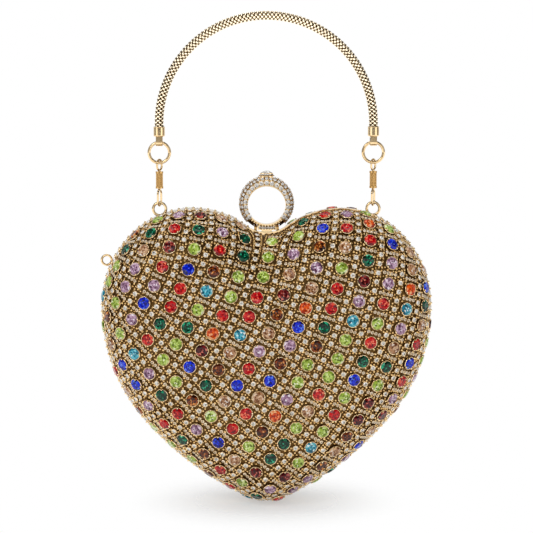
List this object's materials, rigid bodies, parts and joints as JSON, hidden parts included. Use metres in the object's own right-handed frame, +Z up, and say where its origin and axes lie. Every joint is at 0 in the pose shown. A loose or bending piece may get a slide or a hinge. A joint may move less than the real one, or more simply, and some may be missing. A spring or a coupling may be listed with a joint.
{
  "type": "heart shaped purse",
  "caption": "Heart-shaped hard evening purse covered in coloured cut stones, hinged at its point, with a finger-ring clasp in the cleft and an arched handle on ring links.",
  "frame": {"origin": "underside of the handle's arch at its top, where a hand or hook carries the purse", "axes": "+Z up along the purse's height, +Y to its rear, +X to its right as seen from the front"},
  "size_m": [0.1594, 0.0618, 0.2369],
  "materials": {
    "gold_metal": "polished gold plate",
    "gold_mesh": "cup chain base, gold plated",
    "gold_shell": "pressed sheet, gold plated",
    "braid": "braided gold-plated wire",
    "spring_steel": "drawn wire",
    "satin_lining": "plain satin",
    "clear_crystal": "cut and foiled",
    "stone_peridot": "cut and foiled",
    "stone_ruby": "cut and foiled",
    "stone_emerald": "cut and foiled",
    "stone_champagne": "cut and foiled",
    "stone_sapphire": "cut and foiled",
    "stone_lavender": "cut and foiled",
    "stone_topaz": "cut and foiled",
    "stone_aqua": "cut and foiled",
    "stone_orange": "cut and foiled",
    "stone_garnet": "cut and foiled"
  },
  "bodies": {
    "handle": {"handle_sleeve": "braid", "handle_core": "spring_steel", "left_end_cap": "gold_metal", "right_end_cap": "gold_metal", "left_bail": "gold_metal", "right_bail": "gold_metal"},
    "rings": {"left_ring": "gold_metal", "right_ring": "gold_metal"},
    "links": {"left_link_barrel": "gold_metal", "left_link_loops": "gold_metal", "right_link_barrel": "gold_metal", "right_link_loops": "gold_metal"},
    "rear_half": {"rear_shell": "gold_shell", "rear_mesh": "gold_mesh", "rear_lining": "satin_lining", "rear_frame": "gold_metal", "rear_stones_peridot": "stone_peridot", "rear_stones_ruby": "stone_ruby", "rear_stones_emerald": "stone_emerald", "rear_stones_champagne": "stone_champagne", "rear_stones_sapphire": "stone_sapphire", "rear_stones_lavender": "stone_lavender", "rear_stones_topaz": "stone_topaz", "rear_stones_aqua": "stone_aqua", "rear_stones_orange": "stone_orange", "rear_stones_garnet": "stone_garnet", "rear_crystal_chains": "clear_crystal", "rear_knuckles": "gold_metal", "hinge_pin": "spring_steel", "left_lug_eye": "gold_metal", "right_lug_eye": "gold_metal", "strap_eye": "gold_metal", "clasp_bracket": "gold_metal", "clasp_pin": "spring_steel", "return_spring": "spring_steel"},
    "front_half": {"front_shell": "gold_shell", "front_mesh": "gold_mesh", "front_lining": "satin_lining", "front_frame": "gold_metal", "front_stones_peridot": "stone_peridot", "front_stones_ruby": "stone_ruby", "front_stones_emerald": "stone_emerald", "front_stones_champagne": "stone_champagne", "front_stones_sapphire": "stone_sapphire", "front_stones_lavender": "stone_lavender", "front_stones_topaz": "stone_topaz", "front_stones_aqua": "stone_aqua", "front_stones_orange": "stone_orange", "front_stones_garnet": "stone_garnet", "front_crystal_chains": "clear_crystal", "front_knuckle": "gold_metal"},
    "clasp": {"finger_ring": "gold_metal", "stone_bezel": "gold_metal", "centre_stone": "clear_crystal", "ring_stones": "clear_crystal", "catch_lip": "gold_metal"}
  },
  "joints": [
    {"name": "ring_swing", "type": "hinge", "parent": "handle", "child": "rings", "pos_m": [-0.05135, 0, -0.05805], "axis": [1, 0, 0], "range_deg": [-60, 60]},
    {"name": "link_swing", "type": "hinge", "parent": "rings", "child": "links", "pos_m": [-0.05135, 0, -0.06785], "axis": [1, 0, 0], "range_deg": [-60, 60]},
    {"name": "bag_swing", "type": "hinge", "parent": "links", "child": "rear_half", "pos_m": [-0.05135, 0, -0.08695], "axis": [1, 0, 0], "range_deg": [-45, 45]},
    {"name": "lid_open", "type": "hinge", "parent": "rear_half", "child": "front_half", "pos_m": [0, -0.00112, -0.22977], "axis": [1, 0, 0], "range_deg": [0, 75]},
    {"name": "clasp_tilt", "type": "hinge", "parent": "rear_half", "child": "clasp", "pos_m": [0, 0.0021, -0.09868], "axis": [-1, 0, 0], "range_deg": [0, 16], "stiffness_Nm_per_rad": 0.05, "springref_deg": -20.05}
  ]
}
